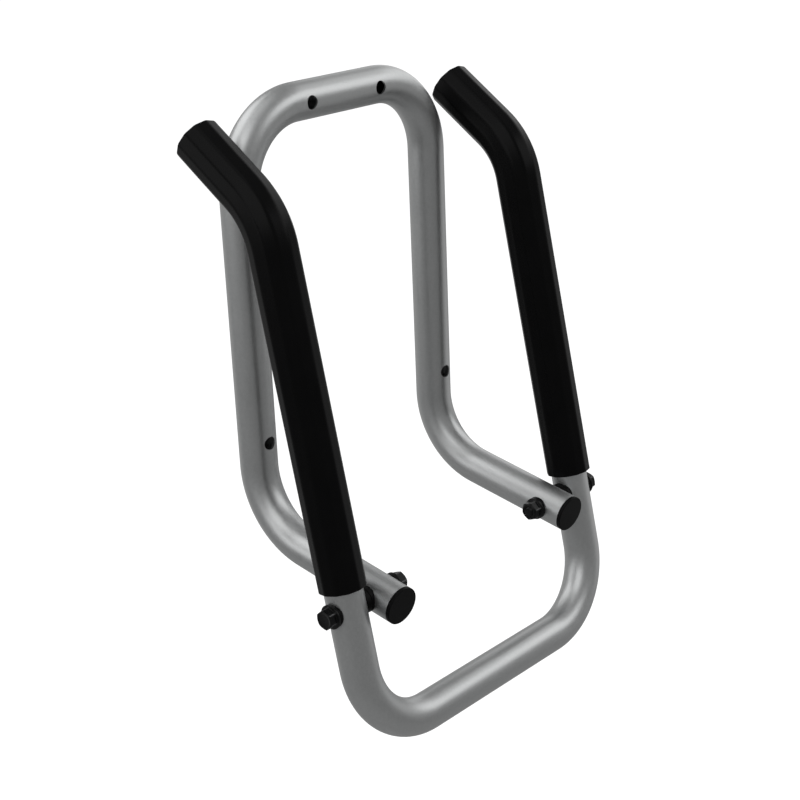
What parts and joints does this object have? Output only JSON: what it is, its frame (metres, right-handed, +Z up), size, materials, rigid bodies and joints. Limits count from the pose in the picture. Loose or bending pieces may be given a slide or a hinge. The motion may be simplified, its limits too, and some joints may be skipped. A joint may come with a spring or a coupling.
{
  "type": "wall storage hanger",
  "caption": "Folding wall hanger of bent round tube: a screwed-on wall frame carries a U-shaped swing frame whose sleeved arms with upturned tips fold down to hold a load.",
  "frame": {"origin": "on the wall plane, midway between the two upper screw holes", "axes": "+Z up, +X to the right seen from the room, +Y into the wall; the wall face is the plane Y = 0"},
  "size_m": [0.3028, 0.1643, 0.452],
  "materials": {
    "silver_tube": "satin silver coat",
    "sleeve_rubber": "smooth, low sheen",
    "plug_plastic": "fine moulded",
    "saddle_plastic": "fine moulded",
    "black_steel": "black zinc",
    "nylon": "smooth"
  },
  "bodies": {
    "wall_frame": {"wall_frame_tube": "silver_tube", "right_leg_end_plug": "plug_plastic", "right_pivot_bolt": "black_steel", "right_lock_nut": "black_steel", "right_nut_ring": "nylon", "right_leg_saddle": "saddle_plastic", "right_nut_saddle": "saddle_plastic", "left_leg_end_plug": "plug_plastic", "left_pivot_bolt": "black_steel", "left_lock_nut": "black_steel", "left_nut_ring": "nylon", "left_leg_saddle": "saddle_plastic", "left_nut_saddle": "saddle_plastic"},
    "swing_frame": {"swing_frame_tube": "silver_tube", "right_arm_sleeve": "sleeve_rubber", "right_arm_end_plug": "plug_plastic", "right_arm_saddle": "saddle_plastic", "right_head_saddle": "saddle_plastic", "left_arm_sleeve": "sleeve_rubber", "left_arm_end_plug": "plug_plastic", "left_arm_saddle": "saddle_plastic", "left_head_saddle": "saddle_plastic"}
  },
  "joints": [
    {"name": "arm_fold", "type": "hinge", "parent": "wall_frame", "child": "swing_frame", "pos_m": [0, -0.1301, -0.32459], "axis": [1, 0, 0], "range_deg": [0, 95.5]}
  ]
}
